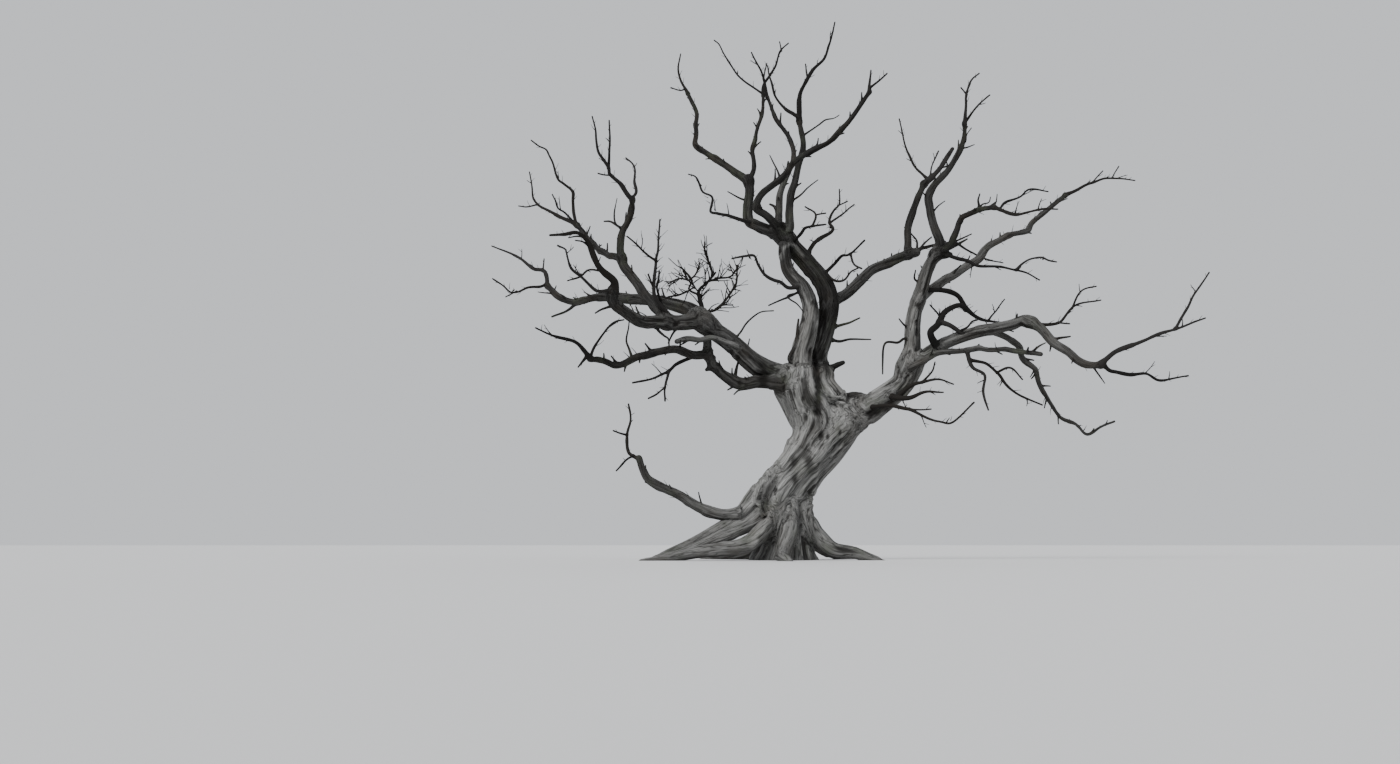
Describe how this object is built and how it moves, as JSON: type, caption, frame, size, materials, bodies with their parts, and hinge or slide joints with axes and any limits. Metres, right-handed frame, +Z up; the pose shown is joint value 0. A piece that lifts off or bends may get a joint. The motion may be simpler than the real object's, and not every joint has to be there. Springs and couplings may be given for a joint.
{
  "type": "dead tree",
  "caption": "Leafless dead old hardwood tree: leaning fluted trunk with flared roots, twisted double stem, wide-spread crooked boughs and bare twigs.",
  "frame": {"origin": "centre of the flat cut under the trunk, at ground level", "axes": "+X to the right of the picture and along the crown's widest spread, +Y away from the viewer, +Z up; -Z is the outward normal of the cut"},
  "size_m": [8.888, 4.6046, 6.8013],
  "materials": {
    "weathered_wood": "barkless silvery grey weathered wood with long twisted grain, cracks and dark streaks",
    "dark_wood": "barkless dark grey-brown weathered wood with twisted grain and knots",
    "twigs": "bare dark grey-brown dead twigs"
  },
  "bodies": {
    "root": {"trunk": "weathered_wood", "left_bough": "weathered_wood", "lower_left_bough": "dark_wood", "right_bough": "weathered_wood", "centre_stem": "dark_wood", "pale_stem": "weathered_wood", "pale_stub": "weathered_wood", "left_arm": "dark_wood", "left_beam": "dark_wood", "left_mast": "dark_wood", "left_wing": "dark_wood", "lower_left_arm": "dark_wood", "low_snag": "weathered_wood", "crown_left": "dark_wood", "inner_bough": "dark_wood", "mast_bough": "dark_wood", "crossing_bough": "dark_wood", "left_horn": "dark_wood", "left_spire": "dark_wood", "centre_right_bough": "dark_wood", "centre_right_rise": "dark_wood", "right_upright": "dark_wood", "right_rise": "dark_wood", "right_curl": "dark_wood", "upper_right_arm": "dark_wood", "far_right_bough": "dark_wood", "far_right_arm": "dark_wood", "drooping_arm": "dark_wood", "second_beam": "dark_wood", "left_arm_twigs": "twigs", "left_beam_twigs": "twigs", "left_mast_twigs": "twigs", "left_sprout_twigs": "twigs", "left_wing_twigs": "twigs", "lower_left_twigs": "twigs", "left_down_twigs": "twigs", "tangle": "twigs", "low_snag_twigs": "twigs", "left_horn_twigs": "twigs", "left_spire_twigs": "twigs", "crossing_twigs": "twigs", "inner_twigs": "twigs", "mast_twigs": "twigs", "left_hook_twigs": "twigs", "crown_right_twigs": "twigs", "mid_right_upper_twigs": "twigs", "mid_right_twigs": "twigs", "mid_left_twigs": "twigs", "centre_right_twigs": "twigs", "right_thin_twigs": "twigs", "right_trail_twigs": "twigs", "right_rise_twigs": "twigs", "right_curl_twigs": "twigs", "upper_right_twigs": "twigs", "far_right_twigs": "twigs", "far_right_shoot_twigs": "twigs", "hanging_twigs": "twigs", "arch_twigs": "twigs", "right_foot_twigs": "twigs", "right_fork_twigs": "twigs"}
  },
  "joints": []
}
